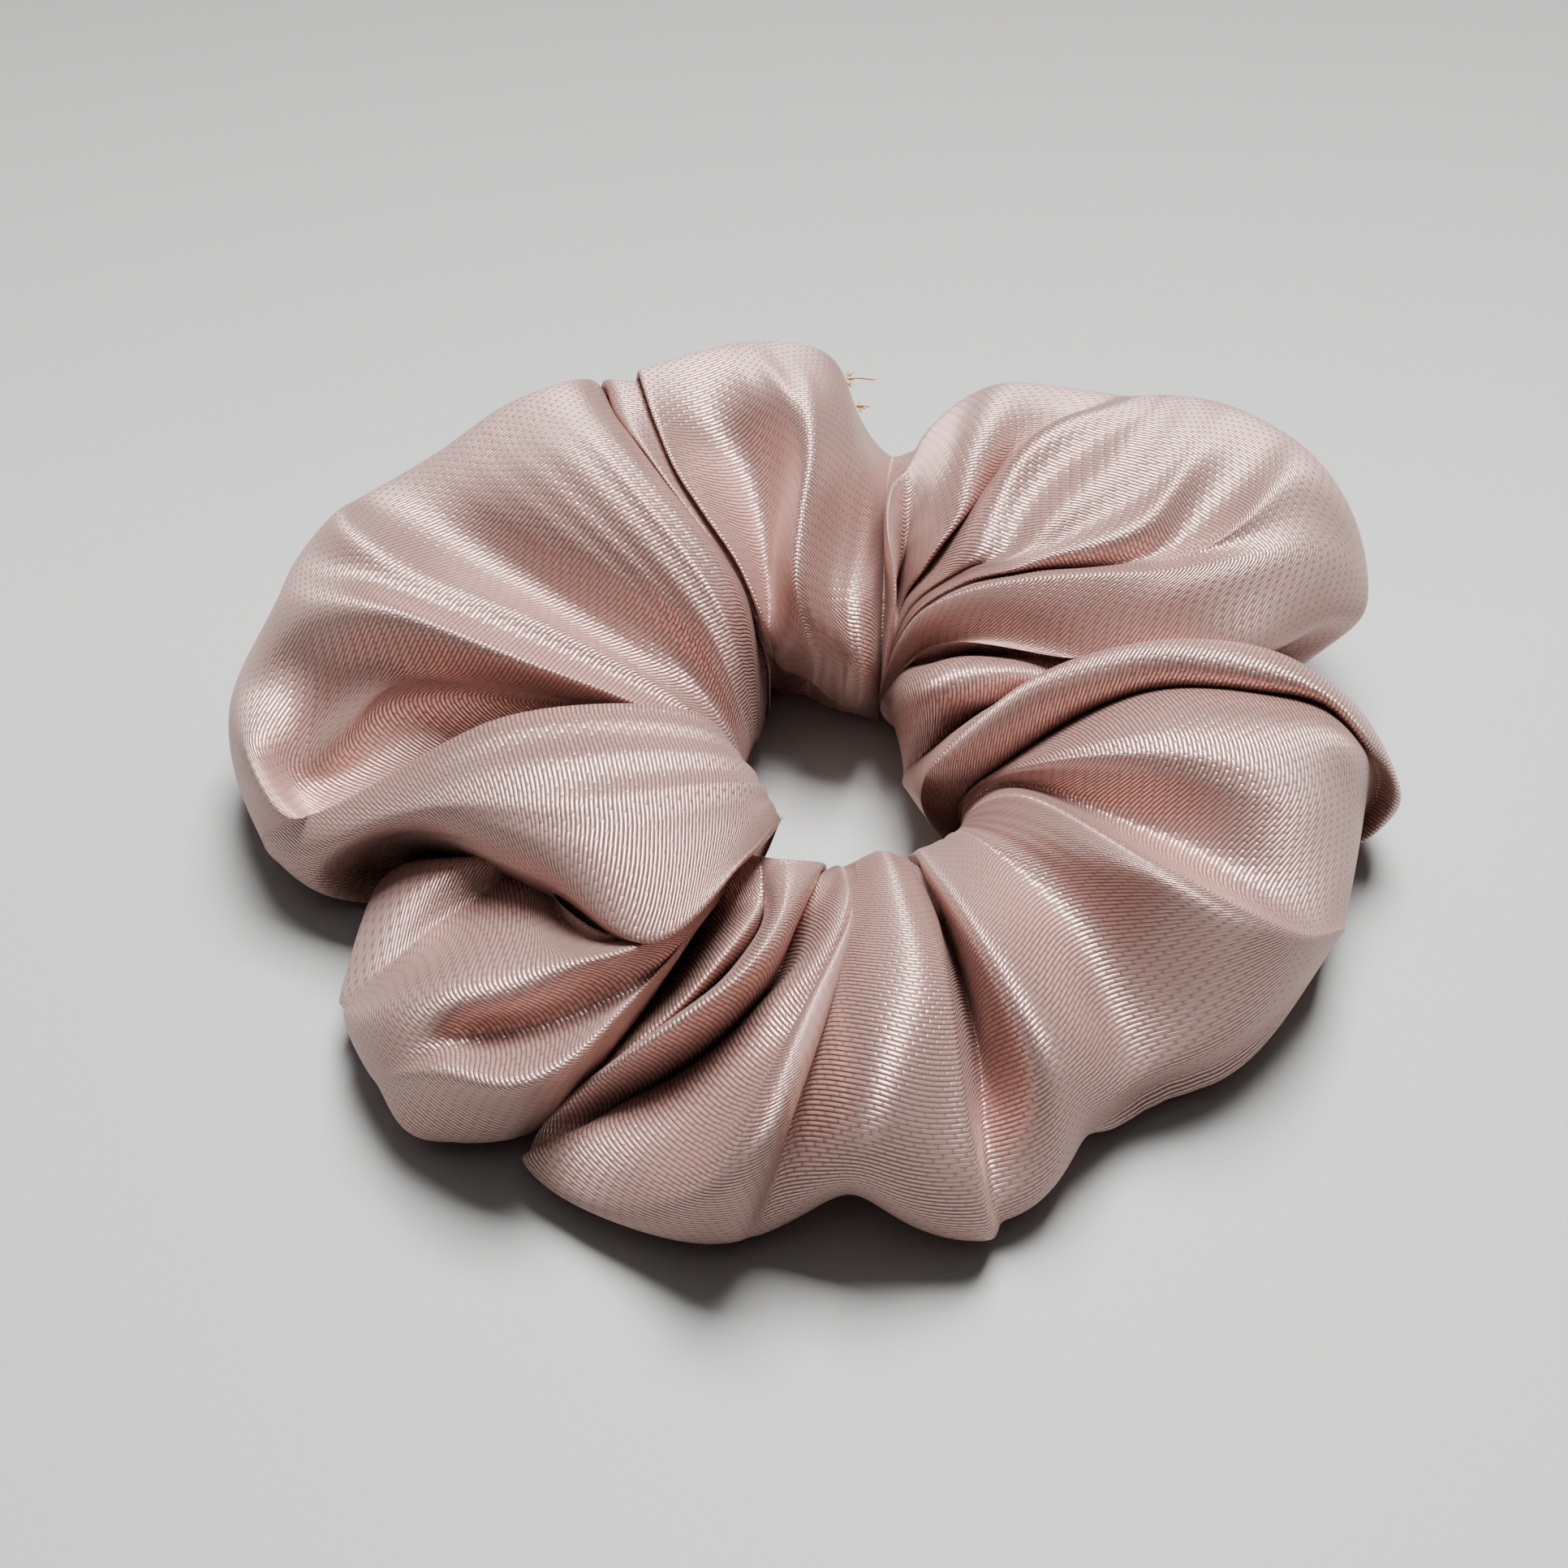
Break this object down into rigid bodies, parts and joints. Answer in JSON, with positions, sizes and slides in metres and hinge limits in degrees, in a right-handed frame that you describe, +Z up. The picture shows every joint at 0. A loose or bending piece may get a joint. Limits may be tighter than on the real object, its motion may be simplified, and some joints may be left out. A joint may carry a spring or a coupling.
{
  "type": "scrunchie",
  "caption": "Gathered satin hair scrunchie: a stitched fabric tube bunched into puffy lobes round a hidden elastic band, with an open middle for the hair.",
  "frame": {"origin": "middle of the scrunchie's bounding box, on the surface it lies on", "axes": "+Z up, through the middle hole; +X along the longest side; +Y away from the front, towards the closing seam"},
  "size_m": [0.1144, 0.1038, 0.029],
  "materials": {
    "satin": "dusty pink polyester satin, glossy face outwards",
    "elastic": "off-white braided elastic, matt",
    "thread": "matching spun polyester thread, matt"
  },
  "bodies": {
    "root": {"satin_sleeve": "satin", "elastic_band": "elastic", "elastic_join_stitches": "thread", "long_seam_stitches": "thread", "closing_seam_stitches": "thread", "thread_tail_upper": "thread", "thread_tail_lower": "thread"}
  },
  "joints": []
}
